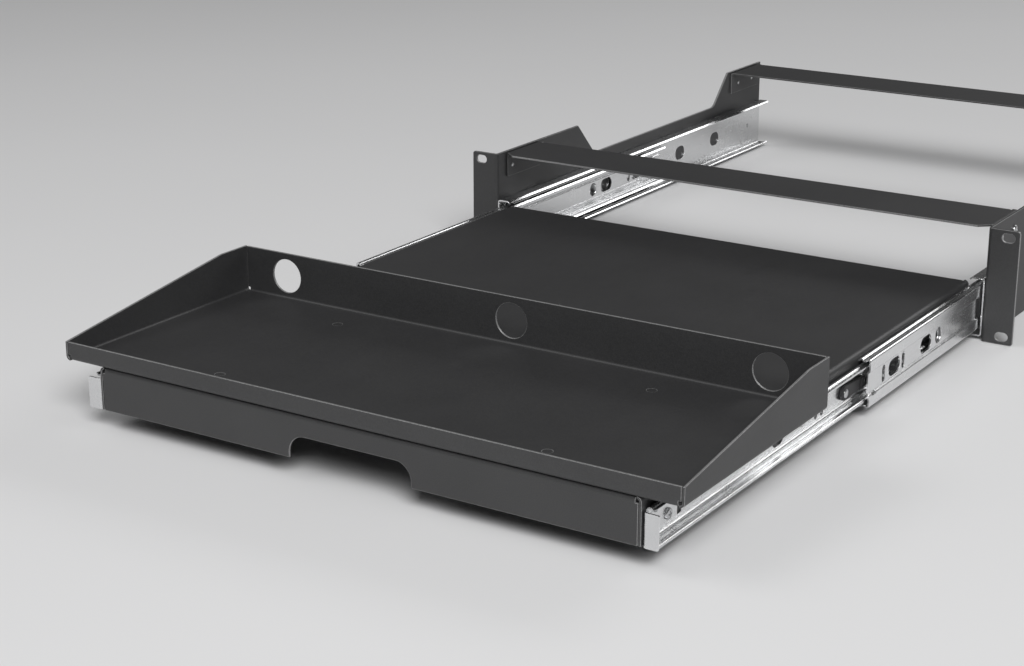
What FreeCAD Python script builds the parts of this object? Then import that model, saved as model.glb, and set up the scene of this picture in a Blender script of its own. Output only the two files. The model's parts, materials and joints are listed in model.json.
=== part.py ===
import FreeCAD, Part
import math
import os

V = FreeCAD.Vector

# A 19 inch rack drawer with a keyboard tray, pulled out as it is used.
# X runs to the right, Y into the rack and Z up, in millimetres.
# The origin is the middle of the ear hole pattern, on the face that meets the rack.

# Rack interface, two units high
panel_width = 482.6
hole_spacing_x = 465.1
hole_spacing_z = 76.2
ear_height = 88.1
ear_corner = 2.0
slot_length = 10.0
slot_width = 6.8

# Side brackets and the two ties that hold them apart
bend_radius = 1.0
bracket_sheet = 2.0
bracket_inner_x = 216.7
bracket_outer_x = bracket_inner_x + bracket_sheet
bracket_length = 498.0
dip_z = 14.0
dip_y = (130.0, 160.0, 395.0, 425.0)
dip_corner = 12.0
tie_sheet = 1.5
tie_top_z = 43.0
tie_depth = 60.0
tie_flange = 21.0
tie_lip = 12.0
tie_lip_band = 8.0
tie_end_clear = 6.0
front_tie_y = 4.0
rear_tie_y = 430.0
tie_corner_along = 12.0
tie_corner_back = 10.0
tie_screw_offsets = (16.0, 46.0)
tie_screw_z = tie_top_z - 12.0

# Telescopic slides. On a slide, u is the distance inward from its outer face and
# v the height above its middle: three nested channels, with balls between each pair.
# The webs of the two moving channels step inward over a middle band.
slide_z = -18.4
slide_thickness = 12.7
slide_sheet = 1.2
slide_length = 498.0
ball_u = 7.2
lip_hook = 1.6
outer_front_y = -1.0
outer_half = 22.7
outer_lip_u = 10.4
outer_window_length = 18.0
outer_window_height = 13.0
outer_window_pitch = 73.0
member_radius = 0.3
middle_half = 17.2
middle_face_u = 2.4
middle_step = 1.4
middle_band_half = 7.2
middle_lip_u = 10.4
middle_front_y = -205.0
middle_length = 480.0
middle_race = (0.8, 1.0, 0.9)
middle_windows = ((26.1, 5.1), (44.6, 20.0), (60.3, 5.0), (101.4, 20.0), (125.0, 11.0))
middle_window_height = 12.0
stop_notch_start = 5.0
stop_notch_length = 7.0
stop_notch_height = 2.4
inner_half = 12.6
inner_lip_u = 4.9
inner_step = 1.2
inner_band_half = 7.8
inner_race = (0.9, 0.8, 0.7)
access_length = 17.0
access_height = 12.0
access_y = (-326.5, -190.0, -117.0)
adjust_length = 5.0
adjust_height = 12.0
adjust_y = (-270.5, -261.3)
notch_y = (-458.0, -453.0)
notch_v = (-4.7, 4.7)
end_tab_u = 1.5
end_tab_half = 10.8
end_tab_radius = 2.8
end_tab_root = 6.0
end_tab_corner = 1.0
lip_setback = 4.4
ball_clear = 0.05
pocket_clear = 0.02
balls_per_row = 5
running_gap = 0.3
cage_sheet = 0.5
cage_gap = 0.35
cage_radius = 0.8
cage_lip_u = 10.6
cage_windows = 3
cage_bridge = 6.0
cage_window_height = 12.0
outer_cage_y = (8.0, 248.0)
inner_cage_y = (-196.0, -12.0)

# Shelf that rides between the inner members
shelf_half = bracket_inner_x - slide_thickness
shelf_sheet = 1.5
shelf_top_z = 1.0
shelf_front_y = -498.0
shelf_back_y = 0.0
shelf_skirt = 30.0
shelf_back_skirt = 14.0
pull_width = 93.0
pull_height = 15.5
pull_corner = 12.0

# Keyboard tray on the front of the shelf, wider than the rack opening
tray_half = 232.0
tray_sheet = 1.5
tray_front_y = -500.0
tray_back_y = -314.0
tray_floor_z = shelf_top_z
tray_lip = 13.0
tray_wall = 35.0
tray_slope_end_y = tray_back_y - 28.0
cable_hole_radius = 12.5
cable_hole_x = 193.0
cable_hole_z = tray_floor_z + 18.0
pan_radius = 1.8
corner_seam = 0.8
bend_strip = 4.5

# Release levers that let the inner members leave the slides
lever_pivot_y = -230.0
lever_pin_gap = 0.1
lever_reach = 34.0
lever_thickness = 2.2
lever_root = 5.0
lever_tip = 3.2
lever_ribs = 3
lever_rib_pitch = 3.0
lever_rib_width = 1.2
lever_rib_height = 0.7

# Cuts run this far past the metal, and edges are picked to this accuracy
past = 1.0
pick = 0.1

# Fasteners
shank_radius = 2.0
head_radius = 3.6
head_height = 1.8
head_chamfer = 0.7
rivet_head_radius = 3.2
rivet_head_height = 1.0
shelf_screw_y = (-469.5, -293.0, -40.0)
shelf_screw_length = 5.2
outer_screw_y = (30.0, 250.0, 470.0)
tray_rivet_x = 125.0
tray_rivet_y = (-470.0, -345.0)
tray_rivet_head_radius = 3.4
tray_rivet_tail_radius = 3.2
tray_rivet_tail_height = 1.5


def add(a, b, scale=1.0):
    return (a[0] + b[0] * scale, a[1] + b[1] * scale)


def unit(a, b):
    length = math.hypot(b[0] - a[0], b[1] - a[1])
    return ((b[0] - a[0]) / length, (b[1] - a[1]) / length)


def rounded_edges(points, radii, place):
    """Edges of an open outline whose inner corners are tangent arcs."""
    edges = []
    start = points[0]
    for before, corner, after, radius in zip(points, points[1:], points[2:], radii):
        coming = unit(before, corner)
        going = unit(corner, after)
        half_turn = math.acos(coming[0] * going[0] + coming[1] * going[1]) / 2
        reach = radius * math.tan(half_turn)
        first = add(corner, coming, -reach)
        last = add(corner, going, reach)
        inward = unit(coming, going)
        middle = add(corner, inward, radius / math.cos(half_turn) - radius)
        edges.append(Part.makeLine(place(*start), place(*first)))
        edges.append(Part.Arc(place(*first), place(*middle), place(*last)).toShape())
        start = last
    edges.append(Part.makeLine(place(*start), place(*points[-1])))
    return edges


def bent_sheet(points, thickness, inside_radius, place, sweep):
    """A folded sheet. The path is its outer skin and the metal lies on the path's left."""
    ways = [unit(a, b) for a, b in zip(points, points[1:])]
    normals = [(-way[1], way[0]) for way in ways]
    skin = [add(points[0], normals[0], thickness)]
    for corner, n1, n2 in zip(points[1:], normals, normals[1:]):
        grow = thickness / (1.0 + n1[0] * n2[0] + n1[1] * n2[1])
        skin.append(add(add(corner, n1, grow), n2, grow))
    skin.append(add(points[-1], normals[-1], thickness))
    lefts = [a[0] * b[1] - a[1] * b[0] > 0 for a, b in zip(ways, ways[1:])]
    wide_radius = inside_radius + thickness
    near = [wide_radius if left else inside_radius for left in lefts]
    far = [inside_radius if left else wide_radius for left in lefts]
    edges = rounded_edges(points, near, place)
    edges.append(Part.makeLine(place(*points[-1]), place(*skin[-1])))
    edges += rounded_edges(skin[::-1], far[::-1], place)
    edges.append(Part.makeLine(place(*skin[0]), place(*points[0])))
    return Part.Face(Part.Wire(edges)).extrude(sweep)


def across(points, sheet, y0, y1, radius=bend_radius):
    """A folded sheet drawn in X and Z and run along Y."""
    return bent_sheet(points, sheet, radius, lambda x, z: V(x, y0, z), V(0, y1 - y0, 0))


def along(points, sheet, half_width, radius=bend_radius):
    """A folded sheet drawn in Y and Z and run along X, as wide on both sides."""
    place = lambda y, z: V(-half_width, y, z)
    return bent_sheet(points, sheet, radius, place, V(2 * half_width, 0, 0))


def box(x0, x1, y0, y1, z0, z1):
    return Part.makeBox(x1 - x0, y1 - y0, z1 - z0, V(x0, y0, z0))


def rod_x(radius, x0, x1, y, z):
    return Part.makeCylinder(radius, x1 - x0, V(x0, y, z), V(1, 0, 0))


def window(length, height, y, z, x0, x1):
    """A round-ended hole along X, standing or lying."""
    radius = min(length, height) / 2
    dy = length / 2 - radius
    dz = height / 2 - radius
    ends = [rod_x(radius, x0, x1, y + side * dy, z + side * dz) for side in (-1, 1)]
    standing = height > length
    half_y = radius if standing else dy
    half_z = dz if standing else radius
    return joined(ends + [box(x0, x1, y - half_y, y + half_y, z - half_z, z + half_z)])


def slot_along_x(length, width, x, z, y0, y1):
    straight = (length - width) / 2
    ends = [Part.makeCylinder(width / 2, y1 - y0, V(x + side * straight, y0, z), V(0, 1, 0))
            for side in (-1, 1)]
    middle = box(x - straight, x + straight, y0, y1, z - width / 2, z + width / 2)
    return joined(ends + [middle])


def prism_x(outline, x0, x1):
    """A block with an outline in Y and Z."""
    corners = [V(x0, y, z) for y, z in outline]
    return Part.Face(Part.makePolygon(corners + corners[:1])).extrude(V(x1 - x0, 0, 0))


def joined(shapes):
    return shapes[0].fuse(shapes[1:]).removeSplitter()


def mirrored(shape):
    return shape.mirror(V(0, 0, 0), V(1, 0, 0))


def export(name, shape):
    shape.exportStep("parts/" + name + ".step")


def export_pair(name, right_shape):
    export("right_" + name, right_shape)
    export("left_" + name, mirrored(right_shape))


def pan_screw(under_head, way, length):
    """A pan-head screw: the shank runs along way from under its head."""
    back = way * -1
    head = Part.makeCylinder(head_radius, head_height, under_head, back)
    top = under_head + back * head_height
    rim = [edge for edge in head.Edges
           if edge.isClosed() and (edge.CenterOfMass - top).Length < head_chamfer / 2]
    head = head.makeChamfer(head_chamfer, rim)
    return joined([head, Part.makeCylinder(shank_radius, length, under_head, way)])


def side_x(u):
    """The X of a distance u into the right-hand slide."""
    return bracket_inner_x - u


def channel(path, sheet, radius, y0, y1):
    """A slide member: a folded strip drawn in u and v and run along Y."""
    place = lambda u, v: V(side_x(u), y0, slide_z + v)
    return bent_sheet(path, sheet, radius, place, V(0, y1 - y0, 0))


def tie_screw_places():
    return [(start + offset, tie_screw_z)
            for start in (front_tie_y, rear_tie_y) for offset in tie_screw_offsets]


def side_bracket():
    half_height = ear_height / 2
    path = [(panel_width / 2, 0.0), (bracket_outer_x, 0.0), (bracket_outer_x, bracket_length)]
    place = lambda x, y: V(x, y, -half_height)
    sheet = bent_sheet(path, bracket_sheet, bend_radius, place, V(0, 0, ear_height))
    tips = [edge for edge in sheet.Edges if edge.BoundBox.XMin > panel_width / 2 - pick
            and edge.BoundBox.YLength > bracket_sheet / 2]
    sheet = sheet.makeFillet(ear_corner, tips)
    through = (bracket_inner_x - past, bracket_outer_x + past)
    outline = [(dip_y[0], half_height + past), (dip_y[1], dip_z),
               (dip_y[2], dip_z), (dip_y[3], half_height + past)]
    dip = prism_x(outline, *through)
    floor_edges = [edge for edge in dip.Edges
                   if edge.BoundBox.XLength > pick and edge.BoundBox.ZMax < dip_z + pick]
    cuts = [dip.makeFillet(dip_corner, floor_edges)]
    for side in (-1, 1):
        cuts.append(slot_along_x(slot_length, slot_width, hole_spacing_x / 2,
                                 side * hole_spacing_z / 2, -bracket_sheet - past, past))
    screws = [(y, slide_z) for y in outer_screw_y] + tie_screw_places()
    cuts += [rod_x(shank_radius, through[0], through[1], y, z) for y, z in screws]
    return sheet.cut(cuts)


def tie(y0, cut_corners):
    """A plate between the brackets, folded down at both ends and along its rear edge."""
    half = bracket_inner_x
    low = tie_top_z - tie_flange
    y1 = y0 + tie_depth
    ends = [(half, low), (half, tie_top_z), (-half, tie_top_z), (-half, low)]
    plate = across(ends, tie_sheet, y0, y1)
    lip_half = half - tie_end_clear
    band = box(-lip_half, lip_half, y1 - tie_lip_band, y1 + past,
               tie_top_z - tie_sheet - past, tie_top_z + past)
    lip_path = [(y1, tie_top_z - tie_lip), (y1, tie_top_z), (y1 - tie_lip_band, tie_top_z)]
    body = joined([plate.cut(band), along(lip_path, tie_sheet, lip_half)])
    cuts = []
    for side in (-1, 1):
        edge = side * half
        if cut_corners:
            beyond = edge + side * past
            corner = [V(beyond, y0 - past, low), V(edge - side * tie_corner_along, y0 - past, low),
                      V(beyond, y0 + tie_corner_back, low)]
            wedge = Part.Face(Part.makePolygon(corner + corner[:1]))
            cuts.append(wedge.extrude(V(0, 0, tie_flange + past)))
        reach = tie_sheet + past
        for offset in tie_screw_offsets:
            cuts.append(rod_x(shank_radius, edge - reach, edge + reach, y0 + offset, tie_screw_z))
        slot_x = sorted((side * lip_half, side * (lip_half + corner_seam)))
        cuts.append(box(*slot_x, y1 - bend_radius - tie_sheet - corner_seam, y1 + past,
                        tie_top_z - reach, tie_top_z + past))
    return body.cut(cuts)


def outer_member():
    tip = outer_lip_u + lip_hook
    path = [(tip, outer_half - lip_hook), (outer_lip_u, outer_half), (0.0, outer_half),
            (0.0, -outer_half), (outer_lip_u, -outer_half), (tip, -outer_half + lip_hook)]
    body = channel(path, slide_sheet, bend_radius, outer_front_y, outer_front_y + slide_length)
    through = (side_x(slide_sheet) - past, bracket_inner_x + past)
    cuts = [rod_x(shank_radius, *through, y, slide_z) for y in outer_screw_y]
    for first in (outer_screw_y[0], outer_screw_y[1]):
        for step in (1, 2):
            middle = first + step * outer_window_pitch
            cuts.append(window(outer_window_length, outer_window_height, middle, slide_z, *through))
    return body.cut(cuts)


def race(sizes, half):
    """A shallow ball groove in a lip, from its far ramp to its near one."""
    depth, flat, ramp = sizes
    return [(ball_u + flat + ramp, half), (ball_u + flat, half - depth),
            (ball_u - flat, half - depth), (ball_u - flat - ramp, half)]


def with_mirror(path):
    """A section drawn above its middle, and the same below."""
    return path + [(u, -v) for u, v in reversed(path)]


def middle_member():
    band_u = middle_face_u + middle_step
    tip = (middle_lip_u + lip_hook, middle_half - lip_hook)
    web = [(middle_face_u, middle_half), (middle_face_u, middle_band_half + middle_step),
           (band_u, middle_band_half)]
    path = with_mirror([tip, (middle_lip_u, middle_half)] + race(middle_race, middle_half) + web)
    body = channel(path, slide_sheet, member_radius, middle_front_y, middle_front_y + middle_length)
    through = (side_x(band_u + slide_sheet) - past, side_x(middle_face_u) + past)
    cuts = []
    for start, length in middle_windows:
        for place in (start, middle_length - start):
            cuts.append(window(length, middle_window_height, middle_front_y + place, slide_z, *through))
    notch_y0 = middle_front_y + stop_notch_start
    notch_top = slide_z - middle_band_half
    cuts.append(box(*through, notch_y0, notch_y0 + stop_notch_length,
                    notch_top - stop_notch_height, notch_top))
    return body.cut(cuts)


def inner_member():
    rim_u = slide_thickness - inner_step
    lip = [(inner_lip_u, inner_half)] + race(inner_race, inner_half)[::-1]
    web = [(rim_u, inner_half), (rim_u, inner_band_half + inner_step), (slide_thickness, inner_band_half)]
    path = with_mirror(lip + web)[::-1]
    front = shelf_front_y
    body = channel(path, slide_sheet, member_radius, front + lip_setback, front + slide_length)
    web_x = side_x(slide_thickness)
    fold = [(web_x, front + end_tab_root), (web_x, front), (side_x(end_tab_u), front)]
    tab = bent_sheet(fold, slide_sheet, end_tab_radius, lambda x, y: V(x, y, slide_z - end_tab_half),
                     V(0, 0, 2 * end_tab_half))
    corners = [edge for edge in tab.Edges
               if edge.BoundBox.YLength > pick and edge.BoundBox.XMin > side_x(end_tab_u) - pick]
    body = joined([body, tab.makeFillet(end_tab_corner, corners)])
    through = (side_x(slide_thickness) - past, side_x(slide_thickness - slide_sheet) + past)
    rounds = list(shelf_screw_y) + [lever_pivot_y]
    cuts = [rod_x(shank_radius, *through, y, slide_z) for y in rounds]
    cuts += [window(access_length, access_height, y, slide_z, *through) for y in access_y]
    cuts += [window(adjust_length, adjust_height, y, slide_z, *through) for y in adjust_y]
    cuts.append(box(*through, *notch_y, slide_z + notch_v[0], slide_z + notch_v[1]))
    return body.cut(cuts)


def ball_row(inside_v, outside_v, span):
    """Height, radius and places of the balls between two races."""
    pitch = (span[1] - span[0]) / balls_per_row
    places = [span[0] + pitch * (k + 0.5) for k in range(balls_per_row)]
    return (inside_v + outside_v) / 2, (outside_v - inside_v) / 2 - ball_clear, places


def outer_row():
    return ball_row(middle_half - middle_race[0], outer_half - slide_sheet, outer_cage_y)


def inner_row():
    ridge = middle_half - middle_race[0] - slide_sheet
    return ball_row(inner_half - inner_race[0], ridge, inner_cage_y)


def cage(web_u, row, span, step=()):
    """A thin channel with a row of ball pockets along each lip and windows in its web."""
    ball_v, radius, places = row
    top = ball_v + cage_sheet / 2
    path = with_mirror([(cage_lip_u, top), (web_u, top), *step])
    body = channel(path, cage_sheet, cage_radius, *span)
    reach = cage_sheet / 2 + past
    cuts = [Part.makeCylinder(radius + pocket_clear, 2 * reach,
                              V(side_x(ball_u), y, slide_z + side * ball_v - reach))
            for y in places for side in (-1, 1)]
    pitch = (span[1] - span[0] - cage_bridge) / cage_windows
    for k in range(cage_windows):
        middle = span[0] + cage_bridge / 2 + pitch * (k + 0.5)
        cuts.append(window(pitch - cage_bridge, cage_window_height, middle, slide_z,
                           side_x(ball_u), bracket_inner_x))
    return body.cut(cuts)


def outer_cage():
    return cage(slide_sheet + cage_gap, outer_row(), outer_cage_y)


def inner_cage():
    """Its web follows the stepped web of the middle member."""
    rim_u = middle_face_u + slide_sheet + cage_gap
    band_v = middle_band_half + (slide_sheet + cage_gap) * math.tan(math.pi / 8)
    step = [(rim_u, band_v + middle_step), (rim_u + middle_step, band_v)]
    return cage(rim_u, inner_row(), inner_cage_y, step)


def balls(row):
    ball_v, radius, places = row
    return Part.makeCompound([Part.makeSphere(radius, V(side_x(ball_u), y, slide_z + side * ball_v))
                              for y in places for side in (-1, 1)])


def release_lever():
    """A tapered thumb lever with grip ribs, flat against the inner member's web."""
    near_x = side_x(slide_thickness - slide_sheet - running_gap)
    far_x = near_x + lever_thickness
    place = lambda y, z: V(near_x, lever_pivot_y + y, slide_z + z)
    straight = lever_reach - lever_tip
    edges = [Part.Arc(place(0, lever_root), place(-lever_root, 0), place(0, -lever_root)).toShape(),
             Part.makeLine(place(0, -lever_root), place(straight, -lever_tip)),
             Part.Arc(place(straight, -lever_tip), place(lever_reach, 0),
                      place(straight, lever_tip)).toShape(),
             Part.makeLine(place(straight, lever_tip), place(0, lever_root))]
    body = Part.Face(Part.Wire(edges)).extrude(V(lever_thickness, 0, 0))
    first = lever_pivot_y + straight - lever_rib_width
    ribs = []
    for k in range(lever_ribs):
        y = first - k * lever_rib_pitch
        ribs.append(box(far_x, far_x + lever_rib_height, y, y + lever_rib_width,
                        slide_z - lever_tip, slide_z + lever_tip))
    hole = rod_x(shank_radius + lever_pin_gap, near_x - past, far_x + past, lever_pivot_y, slide_z)
    return joined([body] + ribs).cut(hole)


def lever_rivet():
    head_x = side_x(slide_thickness - slide_sheet - 2 * running_gap) + lever_thickness
    shank = rod_x(shank_radius, side_x(slide_thickness), head_x, lever_pivot_y, slide_z)
    head = rod_x(rivet_head_radius, head_x, head_x + rivet_head_height, lever_pivot_y, slide_z)
    return joined([shank, head])


def folded_pan(half, ends, skin_z, way, sheet, heights):
    """A sheet with four sides folded up (way 1) or down (way -1), slotted where folds meet.

    The heights are those of the front, the back and the two sides.
    """
    front, back = ends
    bend = pan_radius + sheet
    slot = bend + corner_seam
    front_top, back_top, side_top = [skin_z + way * height for height in heights]
    floor_z = sorted((skin_z, skin_z + way * sheet))
    pieces = [box(-half + bend_strip, half - bend_strip, front + bend_strip, back - bend_strip, *floor_z)]
    front_path = [(front, front_top), (front, skin_z), (front + bend_strip, skin_z)]
    back_path = [(back - bend_strip, skin_z), (back, skin_z), (back, back_top)]
    pieces += [along(path[::way], sheet, half - slot, pan_radius) for path in (front_path, back_path)]
    end_half = half - sheet - corner_seam
    for y, far_z in ((front, front_top), (back - sheet, back_top)):
        wall_z = sorted((skin_z + way * slot, far_z))
        pieces.append(box(-end_half, end_half, y, y + sheet, *wall_z))
    side_path = [(half - bend_strip, skin_z), (half, skin_z), (half, side_top)]
    right = across(side_path[::way], sheet, front, back, pan_radius)
    right = right.cut([box(half - bend_strip - past, half - bend, y - slot, y + slot,
                           floor_z[0] - past, floor_z[1] + past) for y in ends])
    return joined(pieces + [right, mirrored(right)])


def shelf():
    half = shelf_half
    top = shelf_top_z
    front = shelf_front_y
    heights = (shelf_skirt, shelf_back_skirt, shelf_skirt)
    body = folded_pan(half, (front, shelf_back_y), top, -1, shelf_sheet, heights)
    low = top - shelf_skirt
    pull = box(-pull_width / 2, pull_width / 2, front - past, front + bend_strip,
               low - pull_corner, low + pull_height)
    upper = [edge for edge in pull.Edges
             if edge.BoundBox.YLength > pick and edge.BoundBox.ZMin > low]
    cuts = [pull.makeFillet(pull_corner, upper)]
    reach = shelf_sheet + past
    for side in (-1, 1):
        cuts += [rod_x(shank_radius, side * half - reach, side * half + reach, y, slide_z)
                 for y in shelf_screw_y]
    cuts += [Part.makeCylinder(shank_radius, 2 * reach, V(x, y, top - reach))
             for x, y in tray_rivet_places()]
    return body.cut(cuts)


def tray_rivet_places():
    return [(side * tray_rivet_x, y) for side in (-1, 1) for y in tray_rivet_y]


def keyboard_tray():
    half = tray_half
    low = tray_floor_z
    front, back = tray_front_y, tray_back_y
    heights = (tray_lip, tray_wall, tray_wall)
    body = folded_pan(half, (front, back), low, 1, tray_sheet, heights)
    lip_z = low + tray_lip
    wall_z = low + tray_wall
    slope = [(front, lip_z), (tray_slope_end_y, wall_z), (tray_slope_end_y, wall_z + past),
             (front - past, wall_z + past), (front - past, lip_z)]
    wedge = prism_x(slope, half - tray_sheet - corner_seam / 2, half + past)
    reach = tray_sheet + past
    cuts = [wedge, mirrored(wedge)]
    cuts += [Part.makeCylinder(cable_hole_radius, 2 * reach, V(x, back - reach, cable_hole_z), V(0, 1, 0))
             for x in (-cable_hole_x, 0.0, cable_hole_x)]
    for x, y in tray_rivet_places():
        cuts.append(Part.makeCylinder(shank_radius, tray_sheet + past, V(x, y, low - past)))
        cuts.append(tray_rivet_head(x, y))
    return body.cut(cuts)


def tray_rivet_head(x, y):
    """The countersunk head, flush with the tray floor."""
    sink = tray_rivet_head_radius - shank_radius
    top = tray_floor_z + tray_sheet
    return Part.makeCone(shank_radius, tray_rivet_head_radius, sink, V(x, y, top - sink))


def tray_rivet(x, y):
    """A flush rivet through the tray floor and the shelf."""
    top = tray_floor_z + tray_sheet
    low = shelf_top_z - shelf_sheet
    shank = Part.makeCylinder(shank_radius, top - low, V(x, y, low))
    tail = Part.makeCylinder(tray_rivet_tail_radius, tray_rivet_tail_height,
                             V(x, y, low - tray_rivet_tail_height))
    return joined([tray_rivet_head(x, y), shank, tail])


def build():
    os.makedirs("parts", exist_ok=True)
    inward = V(-1, 0, 0)

    export_pair("bracket", side_bracket())
    export("top_tie_plate", tie(front_tie_y, True))
    export("rear_tie_plate", tie(rear_tie_y, False))
    tie_screws = [pan_screw(V(bracket_outer_x, y, z), inward, bracket_sheet + tie_sheet)
                  for y, z in tie_screw_places()]
    export("tie_screws", Part.makeCompound(tie_screws + [mirrored(s) for s in tie_screws]))

    export_pair("outer_slide_member", outer_member())
    slide_screws = [pan_screw(V(bracket_outer_x, y, slide_z), inward, bracket_sheet + slide_sheet)
                    for y in outer_screw_y]
    export_pair("slide_screws", Part.makeCompound(slide_screws))

    export_pair("middle_slide_member", middle_member())
    export_pair("outer_ball_cage", outer_cage())
    export_pair("outer_balls", balls(outer_row()))
    export_pair("inner_ball_cage", inner_cage())
    export_pair("inner_balls", balls(inner_row()))

    export_pair("inner_slide_member", inner_member())
    export_pair("release_lever", release_lever())
    export_pair("lever_rivet", lever_rivet())
    web_x = side_x(slide_thickness - slide_sheet)
    shelf_screws = [pan_screw(V(web_x, y, slide_z), inward, shelf_screw_length) for y in shelf_screw_y]
    export_pair("shelf_screws", Part.makeCompound(shelf_screws))

    export("shelf", shelf())
    export("keyboard_tray", keyboard_tray())
    export("tray_rivets", Part.makeCompound([tray_rivet(x, y) for x, y in tray_rivet_places()]))


build()
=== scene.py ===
import json
import math

import bmesh
import bpy
import numpy as np
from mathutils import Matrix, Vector
from mathutils.geometry import delaunay_2d_cdt

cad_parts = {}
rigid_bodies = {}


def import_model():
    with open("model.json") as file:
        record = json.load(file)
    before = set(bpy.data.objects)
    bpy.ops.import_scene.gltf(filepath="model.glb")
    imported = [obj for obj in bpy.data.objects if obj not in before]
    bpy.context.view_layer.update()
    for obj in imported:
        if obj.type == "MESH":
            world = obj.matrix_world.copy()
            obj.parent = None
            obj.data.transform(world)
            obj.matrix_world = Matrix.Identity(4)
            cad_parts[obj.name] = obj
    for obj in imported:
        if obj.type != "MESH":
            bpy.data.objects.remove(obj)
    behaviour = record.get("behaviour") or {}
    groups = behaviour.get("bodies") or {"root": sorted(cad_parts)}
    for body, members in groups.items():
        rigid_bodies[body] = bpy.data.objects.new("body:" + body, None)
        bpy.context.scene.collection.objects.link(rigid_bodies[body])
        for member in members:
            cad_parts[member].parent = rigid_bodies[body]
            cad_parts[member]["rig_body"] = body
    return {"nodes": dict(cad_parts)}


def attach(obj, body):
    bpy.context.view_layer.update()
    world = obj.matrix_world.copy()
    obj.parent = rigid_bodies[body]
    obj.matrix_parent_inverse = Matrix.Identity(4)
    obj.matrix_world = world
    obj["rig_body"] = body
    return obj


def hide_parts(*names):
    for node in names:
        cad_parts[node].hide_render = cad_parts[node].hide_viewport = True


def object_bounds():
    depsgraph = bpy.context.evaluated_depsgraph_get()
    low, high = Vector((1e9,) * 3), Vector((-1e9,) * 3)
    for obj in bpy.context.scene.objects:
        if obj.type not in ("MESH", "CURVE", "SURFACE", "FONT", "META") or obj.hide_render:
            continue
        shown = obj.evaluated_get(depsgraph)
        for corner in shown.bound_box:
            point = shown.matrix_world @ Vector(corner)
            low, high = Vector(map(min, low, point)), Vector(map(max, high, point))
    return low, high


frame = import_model()
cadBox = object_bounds()
mm = 0.001
sides = ("left", "right")
print("frame loaded:", len(frame["nodes"]), "nodes")


# Shader maths: a Wire is one socket, and sums on Wires add Math nodes
class Wire:
    def __init__(self, tree, socket):
        self.tree = tree
        self.socket = socket

    # any node: its kind, the values or Wires of its sockets, its settings and the wanted output
    def node(self, kind, inputs, settings=None, out=0):
        made = self.tree.nodes.new("ShaderNode" + kind)
        for name, value in (settings or {}).items():
            setattr(made, name, value)
        for name, value in inputs.items():
            if isinstance(value, Wire):
                self.tree.links.new(value.socket, made.inputs[name])
            else:
                made.inputs[name].default_value = value
        return Wire(self.tree, made.outputs[out])

    def mathNode(self, operation, first, second):
        return self.node("Math", {0: first, 1: second}, {"operation": operation})

    def __add__(self, other):
        return self.mathNode("ADD", self, other)

    def __radd__(self, other):
        return self.mathNode("ADD", other, self)

    def __mul__(self, other):
        return self.mathNode("MULTIPLY", self, other)

    def __rmul__(self, other):
        return self.mathNode("MULTIPLY", other, self)

    def stretched(self, x, y, z):
        return self.node("VectorMath", {0: self, 1: (x, y, z)}, {"operation": "MULTIPLY"})

    def noise(self, scale, detail=2.0, roughness=0.5):
        sockets = {"Vector": self, "Scale": scale, "Detail": detail, "Roughness": roughness}
        return self.node("TexNoise", sockets)

    def ramp(self, low, high):
        return self.node("MapRange", {"Value": self, "From Min": low, "From Max": high})

    def between(self, dark, light):
        sockets = {"Factor": self, 6: (*dark, 1.0), 7: (*light, 1.0)}  # the Mix node's two colours
        return self.node("Mix", sockets, {"data_type": "RGBA"}, out=2)

    def bump(self, height, strength):
        return self.node("Bump", {"Height": self, "Distance": height, "Strength": strength})


# A new material, its shader and a Wire on the object's own coordinates
def newFinish(name, fixed):
    material = bpy.data.materials.new(name)
    material.use_nodes = True
    tree = material.node_tree
    shader = tree.nodes["Principled BSDF"]
    for socket, value in fixed.items():
        shader.inputs[socket].default_value = value
    place = Wire(tree, None).node("TexCoord", {}, out="Object")
    return material, shader, place


def feed(shader, **wires):
    for name, wire in wires.items():
        shader.id_data.links.new(wire.socket, shader.inputs[name.replace("_", " ")])


# Fine-textured black powder coat; the edge look is the same coat made much paler, mostly a painted
# highlight on eased edges and cut faces, with some edge wear.
# A look is its material's name, its least roughness, and its darkest and lightest tone
coat = {
    "grain": 0.75 * mm,
    "pit": 1.875 * mm,
    "cloudsPerMetre": 14.0,
    "smearsPerMetre": 55.0,
    "smearStretch": 0.35,
    "grainShare": 0.75,
    "pitShare": 0.3,
    "toneRange": (0.36, 0.64),
    "smearRange": (0.35, 0.7),
    "smearDulls": 0.035,
    "grainDulls": 0.08,
    "grainHeight": 0.06 * mm,
    "grainStrength": 0.55,
    "specular": 0.9,
    "looks": {
        "coat": ("powderCoat", 0.46, (0.018, 0.018, 0.019), (0.034, 0.034, 0.035)),
        # painted highlight: the edge coat is several times paler than the coat, partly standing for edge
        # wear
        "coatEdgeHighlight": ("powderCoatPaintedHighlight", 0.30, (0.13, 0.13, 0.131), (0.27, 0.27, 0.271)),
    },
}


def powderCoat(name, rough, dark, light):
    material, shader, place = newFinish(name, {"Specular IOR Level": coat["specular"]})
    grain = place.noise(1 / coat["grain"], detail=2.0, roughness=0.6)
    pits = place.noise(1 / coat["pit"], detail=1.0)
    clouds = place.noise(coat["cloudsPerMetre"], detail=3.0)
    drawn = place.stretched(1.0, coat["smearStretch"], 1.0)
    smears = drawn.noise(coat["smearsPerMetre"], detail=4.0, roughness=0.62)
    tone = grain * coat["grainShare"] + clouds * (1 - coat["grainShare"])
    dull = rough + coat["smearDulls"] * smears.ramp(*coat["smearRange"]) + coat["grainDulls"] * grain
    height = grain * (1 - coat["pitShare"]) + pits * coat["pitShare"]
    feed(shader, Base_Color=tone.ramp(*coat["toneRange"]).between(dark, light), Roughness=dull,
         Normal=height.bump(coat["grainHeight"], coat["grainStrength"]))
    return material


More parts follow.
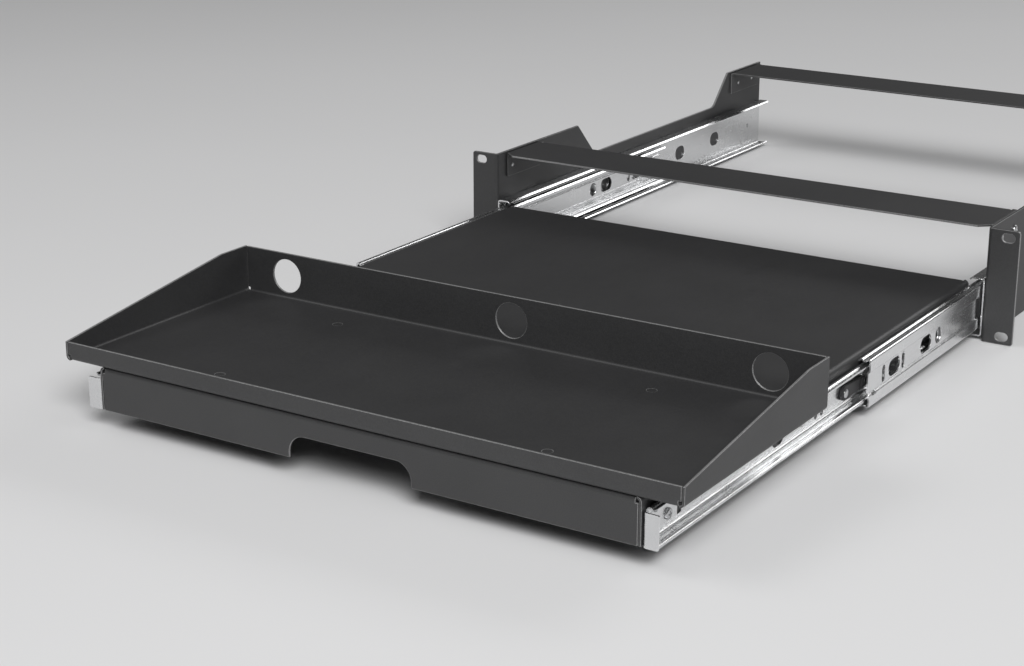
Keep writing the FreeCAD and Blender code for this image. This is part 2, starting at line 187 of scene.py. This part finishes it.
# Bright zinc on rolled strip: streaks run along the strip, clouds where the plate is duller
zinc = {
    "streak": 0.35 * mm,
    "run": 60 * mm,
    "dragPerMetre": (600.0, 30.0, 600.0),
    "cloudsPerMetre": 38.0,
    "spotsPerMetre": 420.0,
    "streakShare": 0.55,
    "cloudShare": 0.3,
    "dragShare": 0.15,
    "toneRange": (0.3, 0.7),
    "cloudRange": (0.3, 0.75),
    "spotRange": (0.55, 0.8),
    "cloudDulls": 0.07,
    "streakDulls": 0.05,
    "spotDulls": 0.03,
    "dragLift": 0.3,
    "streakHeight": 0.0005 * mm,
    "streakStrength": 0.6,
    "looks": {
        "zinc": ("zincPlate", 0.20, (0.72, 0.724, 0.731), (0.88, 0.884, 0.889)),
        # painted highlight: the edge zinc is paler than the plate, and far paler than the cage strip it
        # also edges
        "zincEdgeHighlight": ("zincEdgeHighlight", 0.16, (0.78, 0.784, 0.79), (0.91, 0.914, 0.918)),
        "cage": ("cageStrip", 0.26, (0.34, 0.34, 0.345), (0.56, 0.56, 0.565)),
        "screw": ("screwZinc", 0.22, (0.46, 0.465, 0.47), (0.72, 0.725, 0.73)),
    },
}


def zincPlate(name, rough, dark, light):
    material, shader, place = newFinish(name, {"Metallic": 1.0})
    rolled = place.stretched(1 / zinc["streak"], 1 / zinc["run"], 1 / zinc["streak"])
    streaks = rolled.noise(1.0, detail=3.0, roughness=0.55)
    drag = place.stretched(*zinc["dragPerMetre"]).noise(1.0, detail=2.0)
    clouds = place.noise(zinc["cloudsPerMetre"], detail=4.0, roughness=0.6)
    spots = place.noise(zinc["spotsPerMetre"], detail=2.0)
    tone = zinc["streakShare"] * streaks + zinc["cloudShare"] * clouds + zinc["dragShare"] * drag
    dull = (rough + zinc["cloudDulls"] * clouds.ramp(*zinc["cloudRange"]) + zinc["streakDulls"] * streaks
            + zinc["spotDulls"] * spots.ramp(*zinc["spotRange"]))
    height = streaks + zinc["dragLift"] * drag
    feed(shader, Base_Color=tone.ramp(*zinc["toneRange"]).between(dark, light), Roughness=dull,
         Normal=height.bump(zinc["streakHeight"], zinc["streakStrength"]))
    return material


# Polished bearing balls with a thin film of oil
ball = {
    "filmPerMetre": 300.0,
    "filmRange": (0.4, 0.7),
    "rough": 0.06,
    "filmDulls": 0.1,
    "dark": (0.62, 0.62, 0.63),
    "light": (0.8, 0.8, 0.81),
}


def bearingSteel():
    material, shader, place = newFinish("bearingSteel", {"Metallic": 1.0})
    film = place.noise(ball["filmPerMetre"], detail=3.0)
    feed(shader, Base_Color=film.between(ball["dark"], ball["light"]),
         Roughness=ball["rough"] + ball["filmDulls"] * film.ramp(*ball["filmRange"]))
    return material


# Dark moulded plastic with a spark-eroded texture
plastic = {
    "sparksPerMetre": 2600.0,
    "flowPerMetre": 120.0,
    "rough": 0.42,
    "sparkDulls": 0.16,
    "sparkHeight": 0.03 * mm,
    "sparkStrength": 0.5,
    "specular": 0.45,
    "dark": (0.02, 0.02, 0.021),
    "light": (0.034, 0.034, 0.035),
}


def mouldedPlastic():
    material, shader, place = newFinish("mouldedPlastic", {"Specular IOR Level": plastic["specular"]})
    spark = place.noise(plastic["sparksPerMetre"], detail=2.0, roughness=0.7)
    flow = place.noise(plastic["flowPerMetre"], detail=2.0)
    feed(shader, Base_Color=flow.between(plastic["dark"], plastic["light"]),
         Roughness=plastic["rough"] + plastic["sparkDulls"] * spark,
         Normal=spark.bump(plastic["sparkHeight"], plastic["sparkStrength"]))
    return material


finishes = {key: powderCoat(*look) for key, look in coat["looks"].items()}
finishes.update({key: zincPlate(*look) for key, look in zinc["looks"].items()})
finishes["ball"] = bearingSteel()
finishes["plastic"] = mouldedPlastic()
print("finishes made:", len(finishes))


# A mesh piece at the origin, shaded smooth, on its body
def dress(name, mesh, node, slot, *materials):
    for material in materials:
        mesh.materials.append(material)
    mesh.polygons.foreach_set("use_smooth", np.ones(len(mesh.polygons), bool))
    piece = bpy.data.objects.new(name, mesh)
    bpy.context.scene.collection.objects.link(piece)
    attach(piece, frame["nodes"][node]["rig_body"])
    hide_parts(node)
    return piece


# Pressed and folded sheet: a merged copy of the CAD skin whose cut edges are eased.
# Edges below a style's shortest stay sharp; its look is that of its faces, then the paler one of its
# eased edges and cut faces, a painted highlight
sheets = {
    "coat": {"ease": 0.28 * mm, "rim": 0.5 * mm, "steps": 3, "shortest": 0.0,
             "look": ("coat", "coatEdgeHighlight"), "slot": "black_powder_coat",
             "nodes": ("keyboard_tray", "shelf", "left_bracket", "right_bracket",
                       "top_tie_plate", "rear_tie_plate")},
    "zinc": {"ease": 0.1 * mm, "rim": 0.25 * mm, "steps": 2, "shortest": 0.0,
             "look": ("zinc", "zincEdgeHighlight"), "slot": "zinc_plate",
             "nodes": tuple(side + "_" + name + "_slide_member" for side in sides
                            for name in ("outer", "middle", "inner"))},
    "cage": {"ease": 0.06 * mm, "rim": 0.12 * mm, "steps": 1, "shortest": 0.0,
             "look": ("cage", "zincEdgeHighlight"), "slot": "cage_steel",
             "nodes": tuple(side + "_" + name + "_ball_cage" for side in sides
                            for name in ("outer", "inner"))},
    "lever": {"ease": 0.15 * mm, "rim": 0.4 * mm, "steps": 2, "shortest": 0.8 * mm,
              "look": ("plastic", "plastic"), "slot": "lever_plastic",
              "nodes": tuple(side + "_release_lever" for side in sides)},
}
easing = {
    "weld": 2e-6,  # corners this close are one
    "flat": math.cos(math.radians(0.6)),  # triangles of one plane
    "corner": math.radians(32),  # a fold this sharp is an edge
    "leastArea": 1e-20,  # square metres, so that nothing is divided by nought
    "rimShares": (1.0, 0.7, 0.5, 0.3),  # rims tried, widest first
    "leastTurn": 0.35,  # holds back a rim at hairpin corners
    "touch": 1e-6,  # mm between outlines that meet
    "rimRoom": 1.1,  # area needed, over rim times outline
    "easeRoom": 1.2,  # face width needed, over the ease
    "shortRun": 4,  # length of a short edge, over the ease
    "cut": 2.2 * mm,  # widest cut face of a sheet
}


# Vertices that share a place, to the weld distance, become one
def merged(source):
    spots = np.zeros(len(source.vertices) * 3)
    source.vertices.foreach_get("co", spots)
    corners = np.zeros(len(source.polygons) * 3, int)
    source.polygons.foreach_get("vertices", corners)
    spots = spots.reshape(-1, 3)
    keys = np.round(spots / easing["weld"]).astype(np.int64)
    first, shared = np.unique(keys, axis=0, return_index=True, return_inverse=True)[1:]
    triangles = shared.reshape(-1)[corners].reshape(-1, 3)
    a, b, c = triangles.T
    whole = (a != b) & (b != c) & (c != a)
    return spots[first], triangles[whole]


# Triangles in one plane and joined by edges share a region number
def flatRegions(triangles, normals, owner):
    region = [-1] * len(triangles)
    for seed in range(len(triangles)):
        if region[seed] < 0:
            region[seed] = seed
            stack = [seed]
            while stack:
                here = stack.pop()
                a, b, c = triangles[here]
                for other in (owner.get((b, a)), owner.get((c, b)), owner.get((a, c))):
                    free = other is not None and region[other] < 0
                    if free and normals[here] @ normals[other] > easing["flat"]:
                        region[other] = seed
                        stack.append(other)
    return region


# The outlines of a set of triangles, each a ring of corners with the metal on its left
def outlines(chosen, triangles, region, owner):
    after = {}
    for here in chosen:
        a, b, c = triangles[here]
        for start, end in ((a, b), (b, c), (c, a)):
            other = owner.get((end, start))
            if other is None or region[other] != region[here]:
                if start in after:
                    return []  # an outline that touches itself is left alone
                after[start] = end
    rings = []
    while after:
        start, corner = next(iter(after.items()))
        ring = [start]
        del after[start]
        while corner != start:
            ring.append(corner)
            corner = after.pop(corner)
        rings.append(ring)
    return rings


# An outline moved into the metal: along the sum of its two side normals, over one plus their product
def movedIn(ring, rim):
    way = np.roll(ring, -1, 0) - ring
    way /= np.linalg.norm(way, axis=1, keepdims=True)
    left = np.stack([-way[:, 1], way[:, 0]], 1)
    before = np.roll(left, 1, 0)
    share = np.maximum(1 + (left * before).sum(1), easing["leastTurn"])
    return ring + rim * (left + before) / share[:, None]


# Triangles between outlines: those of the whole hull whose middles lie inside an odd number of rings.
# None where outlines cross or touch, or a side is left without its triangle
def filled(rings):
    points = [Vector(point) for ring in rings for point in ring]
    starts = np.cumsum([0] + [len(ring) for ring in rings])
    links = [(low + k, low + (k + 1) % (high - low))
             for low, high in zip(starts, starts[1:]) for k in range(high - low)]
    places, _, cells, origins, _, _ = delaunay_2d_cdt(points, links, [], 0, easing["touch"])
    if any(len(origin) != 1 for origin in origins):
        return None
    places = np.array([tuple(place) for place in places])
    x, y = places[np.array(cells)].mean(1).T
    (x0, y0), (x1, y1) = [np.concatenate([np.roll(ring, turn, 0) for ring in rings]).T
                          for turn in (0, -1)]
    spans = (y0 > y[:, None]) != (y1 > y[:, None])
    reach = x0 + (y[:, None] - y0) * (x1 - x0) / np.where(y1 == y0, 1.0, y1 - y0)
    inside = (spans & (x[:, None] < reach)).sum(1) % 2 == 1
    kept = [[origins[k][0] for k in cell] for cell, within in zip(cells, inside) if within]
    used = {frozenset((cell[k - 1], cell[k])) for cell in kept for k in range(3)}
    return kept if all(frozenset(link) in used for link in links) else None


# A copy of a skin whose flat regions have a narrow rim of quads along every outline
def rimmed(spots, triangles, rim):
    ends = spots[triangles]
    normals = np.cross(ends[:, 1] - ends[:, 0], ends[:, 2] - ends[:, 0])
    areas = np.linalg.norm(normals, axis=1) / 2
    normals /= np.maximum(2 * areas, easing["leastArea"])[:, None]
    triangles = triangles.tolist()
    owner = {}
    for k, (a, b, c) in enumerate(triangles):
        owner[a, b] = owner[b, c] = owner[c, a] = k
    region = flatRegions(triangles, normals, owner)
    members = {}
    for k, number in enumerate(region):
        members.setdefault(number, []).append(k)
    verts, faces = [spots], []
    total = len(spots)
    for chosen in members.values():
        rings = outlines(chosen, triangles, region, owner)
        if len(rings) == 1 and len(rings[0]) <= 4:  # a plain quad or triangle
            faces.append(rings[0])
            continue
        cells = None
        length = sum(np.linalg.norm(spots[ring] - np.roll(spots[ring], 1, 0), axis=1).sum()
                     for ring in rings)
        if rings and areas[chosen].sum() > easing["rimRoom"] * rim * length:
            up = normals[max(chosen, key=lambda k: areas[k])]
            base, along = spots[rings[0][0]], spots[rings[0][1]] - spots[rings[0][0]]
            along -= up * (along @ up)
            along /= np.linalg.norm(along)
            axes = np.stack([along, np.cross(up, along)])
            for share in easing["rimShares"]:
                inner = [movedIn((spots[ring] - base) @ axes.T / mm, share * rim / mm) for ring in rings]
                cells = filled(inner)
                if cells:
                    break
        if not cells:  # too narrow for a rim
            faces += [triangles[k] for k in chosen]
            continue
        faces += [[total + k for k in cell] for cell in cells]
        verts.append(base + np.concatenate(inner) @ axes * mm)
        for ring in rings:
            count = len(ring)
            faces += [[ring[k], ring[(k + 1) % count], total + (k + 1) % count, total + k]
                      for k in range(count)]
            total += count
    return np.concatenate(verts), faces


# How far a face reaches from one of its edges
def besideWidth(edge, face):
    across = face.normal.cross(edge.verts[1].co - edge.verts[0].co).normalized()
    reach = [across.dot(corner.co) for corner in face.verts]
    return max(reach) - min(reach)


# Whether a face is a cut one: a quad with two eased sides, no farther apart than a sheet's thickness
def isCut(face, weight):
    around = [(edge.calc_length(), edge[weight]) for edge in face.edges]
    if len(around) != 4:
        return False
    pairs = [(around[k], around[k + 2], around[k - 1], around[k - 3]) for k in (0, 1)]
    return any(a[1] and b[1] and max(c[0], d[0]) < easing["cut"] for a, b, c, d in pairs)


def easedSheet(node, style):
    spots, faces = rimmed(*merged(frame["nodes"][node].data), style["rim"])
    mesh = bpy.data.meshes.new(node + "_eased")
    mesh.from_pydata(spots.tolist(), [], faces)
    skin = bmesh.new()
    skin.from_mesh(mesh)
    weight = skin.edges.layers.float.new("bevel_weight_edge")
    narrow = set()
    for edge in skin.edges:  # only corners that stand out between wide enough faces are eased
        if edge.is_manifold and edge.calc_face_angle_signed() > easing["corner"]:
            room = min(besideWidth(edge, face) for face in edge.link_faces)
            edge[weight] = float(room > easing["easeRoom"] * style["ease"])
            if not edge[weight]:
                narrow.update(edge.verts)
    for edge in skin.edges:  # nor are short edges that lead on from a narrow one
        length = edge.calc_length()
        if length < easing["shortRun"] * style["ease"] and not narrow.isdisjoint(edge.verts):
            edge[weight] = 0.0
        if length < style["shortest"]:
            edge[weight] = 0.0
        edge.smooth = bool(edge[weight]) or edge.calc_face_angle(0.0) < easing["corner"]
    for face in skin.faces:
        # cut faces take the paler edge look: a painted highlight
        face.material_index = int(isCut(face, weight))
    skin.to_mesh(mesh)
    skin.free()
    piece = dress(node + "_eased", mesh, node, style["slot"], *(finishes[look] for look in style["look"]))
    ease = piece.modifiers.new("ease", "BEVEL")
    ease.width = style["ease"]
    ease.segments = style["steps"]
    ease.limit_method = "WEIGHT"
    ease.use_clamp_overlap = False
    ease.harden_normals = True
    # the eased strips take the paler edge look: a painted highlight
    ease.material = 1


for style in sheets.values():
    for node in style["nodes"]:
        easedSheet(node, style)
print("sheets eased")


# Fasteners: those of one node stand apart along Y, and a fold past the crease is a sharp one
fastener = {
    "apart": 4 * mm,
    "crease": math.radians(38),
}


# The corners of a node's mesh, parted by side and by gaps along Y: one group a fastener
def groups(node):
    mesh = frame["nodes"][node].data
    spots = np.zeros(len(mesh.vertices) * 3)
    mesh.vertices.foreach_get("co", spots)
    spots = spots.reshape(-1, 3)
    spots = spots[np.argsort(spots[:, 1])]
    rows = np.split(spots, np.flatnonzero(np.diff(spots[:, 1]) > fastener["apart"]) + 1)
    halves = [row[row[:, 0] * way > 0] for row in rows for way in (-1, 1)]
    return [half for half in halves if len(half)]


# Quads between rings of equal count: ring k to ring k + 1, corner j to corner j + 1
def ringQuads(rings, count):
    k, j = np.meshgrid(np.arange(rings - 1), np.arange(count), indexing="ij")
    after = (j + 1) % count
    corners = [k * count + j, (k + 1) * count + j, (k + 1) * count + after, k * count + after]
    return np.stack(corners, -1).reshape(-1, 4)


# Rings of equal count, joined downwards, with the last one closed to a point
def ringFaces(rings, count, first):
    last = (rings - 1) * count + np.arange(count)
    fan = np.stack([last, np.full(count, rings * count), np.roll(last, -1)], 1)
    return (ringQuads(rings, count) + first).tolist() + (fan + first).tolist()


# Copies of one surface, set at each group's head as a single piece: turned outward, or upright
def fastenerPiece(node, surface, look, slot, upright=False):
    verts, faces = [], []
    for group in groups(node):
        low, high = group.min(0), group.max(0)
        local, localFaces = surface((high - low)[0])
        middle = (low + high) / 2
        first = sum(len(part) for part in verts)
        if upright:
            verts.append(local + [middle[0], middle[1], high[2]])
        else:
            way = np.sign(middle[0])
            out = np.stack([way * local[:, 2], way * local[:, 0], local[:, 1]], 1)
            verts.append(out + [high[0] if way > 0 else low[0], middle[1], middle[2]])
        faces += [[first + corner for corner in face] for face in localFaces]
    mesh = bpy.data.meshes.new(node + "_turned")
    mesh.from_pydata(np.concatenate(verts).tolist(), [], faces)
    dress(node + "_turned", mesh, node, slot, finishes[look])
    mesh.set_sharp_from_angle(angle=fastener["crease"])


# Pan-head screws with a cross recess, their tops at height nought.
# Arms, slopes and grid lines are shares of the head's radius
screw = {
    "radius": 3.6 * mm,
    "head": 1.8 * mm,
    "rim": 0.7 * mm,
    "chamfer": 0.15 * mm,
    "domePower": 4,
    "domeRound": 0.4,
    "shank": 1.98 * mm,
    "pitch": 0.7 * mm,
    "thread": 0.28 * mm,
    "threadStart": 0.1 * mm,
    "threadEnd": 0.4 * mm,
    "ringsPerPitch": 6,
    "tip": (1.5 * mm, 1.2 * mm),
    "armHalf": 0.12,
    "armReach": 0.5,
    "armSlope": 0.035,
    "armRise": 0.55,
    "armDepth": 1.0 * mm,
    "lines": (0, 0.06, 0.12, 0.155, 0.22, 0.3, 0.38, 0.45, 0.5, 0.535, 0.62, 0.72, 0.82, 0.9, 0.96, 1),
}


# One arm of the recess: full depth within its half width and reach, nought past a short slope
def recessArm(across, along):
    slope = screw["armSlope"]
    return (np.clip((screw["armHalf"] + slope - abs(across)) / slope, 0, 1)
            * np.clip((screw["armReach"] + slope - abs(along)) / slope, 0, 1))


def screwSurface(length):
    # a square grid bent to a disc: x = s * sqrt(1 - t*t/2), y = t * sqrt(1 - s*s/2)
    lines = np.array(screw["lines"])
    lines = np.concatenate([-lines[:0:-1], lines])
    s, t = np.meshgrid(lines, lines, indexing="ij")
    x, y = s * np.sqrt(1 - t * t / 2), t * np.sqrt(1 - s * s / 2)
    r = np.hypot(x, y)
    # the pan: a fourth-power dome above its rim, less two arms that deepen to the middle
    swell = (1 - np.clip(r, 0, 1) ** screw["domePower"]) ** screw["domeRound"]
    dome = (screw["head"] - screw["rim"]) * (swell - 1)
    shallower = 1 - screw["armRise"] * np.clip(r / screw["armReach"], 0, 1)
    deep = screw["armDepth"] * np.maximum(recessArm(s, t), recessArm(t, s)) * shallower
    top = np.stack([screw["radius"] * x, screw["radius"] * y, dome - deep], -1)
    n = len(lines)
    i, j = np.meshgrid(np.arange(n - 1), np.arange(n - 1), indexing="ij")
    quads = np.stack([i * n + j, (i + 1) * n + j, (i + 1) * n + j + 1, i * n + j + 1], -1).reshape(-1, 4)
    edge = np.concatenate([top[:-1, 0], top[-1, :-1], top[:0:-1, -1], top[0, :0:-1]])
    turn = np.arctan2(edge[:, 1], edge[:, 0])
    count = len(turn)
    # rings: the rim, the underside, then a triangle wave of depth against height less turn
    head, chamfer, pitch = screw["head"], screw["chamfer"], screw["pitch"]
    reach = length - head
    drop = np.arange(screw["threadStart"], reach - screw["threadEnd"], pitch / screw["ringsPerPitch"])
    wave = (drop[:, None] / pitch + turn / (2 * math.pi)) % 1
    thread = screw["shank"] - screw["thread"] * abs(2 * wave - 1)
    wide = [(screw["radius"], screw["rim"] - head), (screw["radius"], -head + chamfer),
            (screw["radius"] - chamfer, -head), (screw["shank"], -head)]
    narrow = [(screw["tip"][0], -head - reach + chamfer), (screw["tip"][1], -head - reach)]
    radii = np.vstack([[np.full(count, ring[0]) for ring in wide], thread,
                       [np.full(count, ring[0]) for ring in narrow]])
    heights = np.concatenate([[ring[1] for ring in wide], -head - drop, [ring[1] for ring in narrow]])
    rings = np.stack([radii * np.cos(turn), radii * np.sin(turn),
                      np.repeat(heights[:, None], count, 1)], -1)
    verts = np.concatenate([top.reshape(-1, 3), rings.reshape(-1, 3), [[0, 0, -head - reach]]])
    # the head's outer corners, in the order of the rings, joined to the first ring
    seam = np.concatenate([np.arange(n - 1) * n, (n - 1) * n + np.arange(n - 1),
                           np.arange(n - 1, 0, -1) * n + n - 1, np.arange(n - 1, 0, -1)])
    below = n * n + np.arange(count)
    bridge = np.stack([seam, below, np.roll(below, -1), np.roll(seam, -1)], 1)
    return verts, quads.tolist() + ringFaces(len(rings), count, n * n) + bridge.tolist()


# Rivets turned from a profile of radius against depth below the top, in mm
rivet = {
    "sides": 64,
    "lever": ((0.0, 0.0), (0.8, 0.02), (1.6, 0.12), (2.3, 0.28), (2.85, 0.5), (3.12, 0.72), (3.2, 0.88),
              (3.12, 1.0), (1.99, 1.0), (1.99, 4.75), (1.8, 5.0)),
    "tray": ((0.0, 0.06), (2.7, 0.06), (3.0, 0.02), (3.3, 0.0), (3.38, 0.08), (1.98, 1.42), (1.98, 3.0),
             (2.6, 3.02), (3.05, 3.2), (3.2, 3.6), (3.08, 4.05), (2.6, 4.4), (1.7, 4.5), (1.2, 4.3)),
}


# The profile carried round the axis, closed to a point at both ends; it is the same at any length
def turned(profile):
    r, drop = np.array(profile[1:]).T * mm
    turn = np.linspace(0, 2 * math.pi, rivet["sides"], endpoint=False)
    rings = np.stack([r[:, None] * np.cos(turn), r[:, None] * np.sin(turn),
                      np.repeat(-drop[:, None], len(turn), 1)], -1)
    verts = np.concatenate([rings.reshape(-1, 3), [[0, 0, -drop[-1]], [0, 0, -profile[0][1] * mm]]])
    j = np.arange(len(turn))
    cap = np.stack([np.full(len(turn), len(verts) - 1), j, np.roll(j, -1)], 1)
    faces = ringFaces(len(rings), len(turn), 0) + cap.tolist()
    return lambda length: (verts, faces)


fastenerPiece("tie_screws", screwSurface, "screw", "fastener_steel")
fastenerPiece("tray_rivets", turned(rivet["tray"]), "coat", "black_powder_coat", upright=True)
for side in sides:
    fastenerPiece(side + "_slide_screws", screwSurface, "screw", "fastener_steel")
    fastenerPiece(side + "_shelf_screws", screwSurface, "screw", "fastener_steel")
    fastenerPiece(side + "_lever_rivet", turned(rivet["lever"]), "screw", "fastener_steel")
    for name in ("outer_balls", "inner_balls"):  # the bearing balls stay as they are
        balls = frame["nodes"][side + "_" + name].data
        balls.materials.clear()
        balls.materials.append(finishes["ball"])
print("fasteners turned")


# Studio: a pale floor under the brackets, soft lamps and the photograph's camera
studio = {
    "floorDrop": 0.4 * mm,
    "floorRadius": 12.0,
    "floorStart": 0.02,
    "floorRings": 24,
    "floorSides": 96,
    "floorDark": (0.8, 0.8, 0.805),
    "floorLight": (0.82, 0.82, 0.825),
    "floorCloudsPerMetre": 3.0,
    "floorRough": 0.95,
    "floorSpecular": 0.05,
    "sky": 0.1,
}


def paleFloor():
    # a flat disc: rings of equal angles, their radii growing as squares
    rings, count = studio["floorRings"], studio["floorSides"]
    ring, turn = np.meshgrid(np.linspace(studio["floorStart"], 1, rings) ** 2,
                             np.linspace(0, 2 * math.pi, count, endpoint=False), indexing="ij")
    height = np.full(ring.size, cadBox[0].z - studio["floorDrop"])
    reach = studio["floorRadius"] * ring
    verts = np.stack([(reach * np.cos(turn)).ravel(), (reach * np.sin(turn)).ravel(), height], 1)
    mesh = bpy.data.meshes.new("floor")
    mesh.from_pydata(verts.tolist(), [], ringQuads(rings, count).tolist() + [list(range(count))])
    material, shader, place = newFinish("paleFloor", {"Roughness": studio["floorRough"],
                                                      "Specular IOR Level": studio["floorSpecular"]})
    clouds = place.noise(studio["floorCloudsPerMetre"])
    feed(shader, Base_Color=clouds.between(studio["floorDark"], studio["floorLight"]))
    mesh.materials.append(material)
    floor = bpy.data.objects.new("floor", mesh)
    bpy.context.scene.collection.objects.link(floor)


# Soft lamps: place and target in metres, width and height, watts and spread in degrees
lamps = {
    "keyLamp": {"place": (2.3, -3.0, 3.0), "target": (0.1, -0.4, 0.0), "size": (2.6, 2.0),
                "watts": 70, "spread": 110},
    "rearLamp": {"place": (1.0, 2.9, 1.85), "target": (0.1, -0.2, 0.0), "size": (2.4, 1.0),
                 "watts": 11, "spread": 120},
    "topLamp": {"place": (-2.3, -2.0, 3.4), "target": (0.0, -0.3, 0.0), "size": (2.8, 2.2),
                "watts": 22, "spread": 150},
}


def softLamp(name, made):
    lamp = bpy.data.lights.new(name, "AREA")
    lamp.shape = "RECTANGLE"
    lamp.size, lamp.size_y = made["size"]
    lamp.energy = made["watts"]
    lamp.spread = math.radians(made["spread"])
    holder = bpy.data.objects.new(name, lamp)
    bpy.context.scene.collection.objects.link(holder)
    holder.location = made["place"]
    holder.rotation_mode = "QUATERNION"
    holder.rotation_quaternion = (Vector(made["target"]) - Vector(made["place"])).to_track_quat("-Z", "Y")


def studioLight():
    for name, made in lamps.items():
        softLamp(name, made)
    world = bpy.data.worlds.new("studio")
    bpy.context.scene.world = world
    world.use_nodes = True
    background = world.node_tree.nodes["Background"]
    background.inputs["Color"].default_value = (1.0, 1.0, 1.0, 1.0)
    background.inputs["Strength"].default_value = studio["sky"]
    bpy.context.scene.view_settings.view_transform = "Standard"


camera = {
    "azimuth": math.radians(32.85),
    "elevation": math.radians(18.23),
    "place": (0.71352, -1.41965, 0.4432),
    "lens": 72.04,
    "sensor": 36.0,
}


def photoCamera():
    lens = bpy.data.cameras.new("camera")
    lens.lens = camera["lens"]
    lens.sensor_width = camera["sensor"]
    holder = bpy.data.objects.new("camera", lens)
    bpy.context.scene.collection.objects.link(holder)
    flat = math.cos(camera["elevation"])
    back = Vector((math.sin(camera["azimuth"]) * flat, -math.cos(camera["azimuth"]) * flat,
                   math.sin(camera["elevation"])))
    holder.location = camera["place"]
    holder.rotation_mode = "QUATERNION"
    holder.rotation_quaternion = (-back).to_track_quat("-Z", "Y")
    bpy.context.scene.camera = holder


paleFloor()
studioLight()
photoCamera()
print("studio set")
